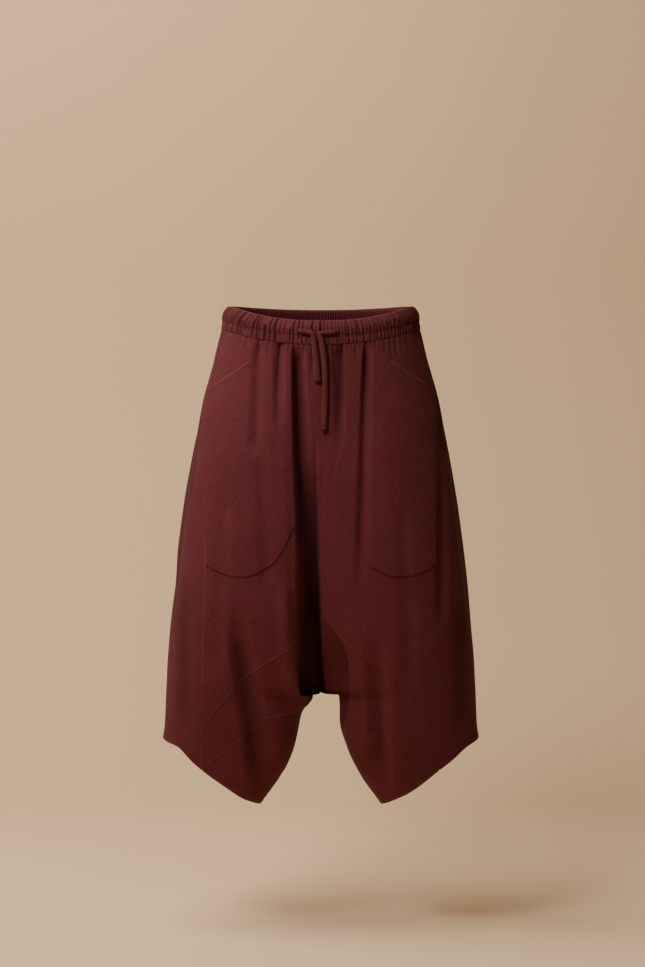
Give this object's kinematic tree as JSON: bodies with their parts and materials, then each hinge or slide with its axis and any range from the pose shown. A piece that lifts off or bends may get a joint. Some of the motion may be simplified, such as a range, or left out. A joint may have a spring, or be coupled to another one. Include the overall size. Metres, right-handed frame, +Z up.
{
  "type": "harem pants",
  "caption": "Harem pants, filled out and empty: gathered drawstring waist, teardrop patch pockets, dropped crotch with slanted leg bands and pointed hems.",
  "frame": {"origin": "middle of the waist, level with the top of the waistband at the sides", "axes": "+Z up towards the waist, -Y out of the garment's front, +X towards the wearer's left"},
  "size_m": [0.5128, 0.2694, 0.7999],
  "materials": {
    "burgundy_cloth": "matte",
    "drawstring_cotton": "matte"
  },
  "bodies": {
    "root": {"waistband": "burgundy_cloth", "front_right": "burgundy_cloth", "front_left": "burgundy_cloth", "back_right": "burgundy_cloth", "back_left": "burgundy_cloth", "pocket_right": "burgundy_cloth", "pocket_left": "burgundy_cloth", "leg_band_front_right": "burgundy_cloth", "leg_band_front_left": "burgundy_cloth", "leg_band_back_right": "burgundy_cloth", "leg_band_back_left": "burgundy_cloth", "lower_leg_front_right": "burgundy_cloth", "lower_leg_front_left": "burgundy_cloth", "lower_leg_back_right": "burgundy_cloth", "lower_leg_back_left": "burgundy_cloth", "drawstring_knot": "drawstring_cotton", "drawstring_run_right": "drawstring_cotton", "drawstring_run_left": "drawstring_cotton", "drawstring_tail_short": "drawstring_cotton", "drawstring_tail_long": "drawstring_cotton"}
  },
  "joints": []
}
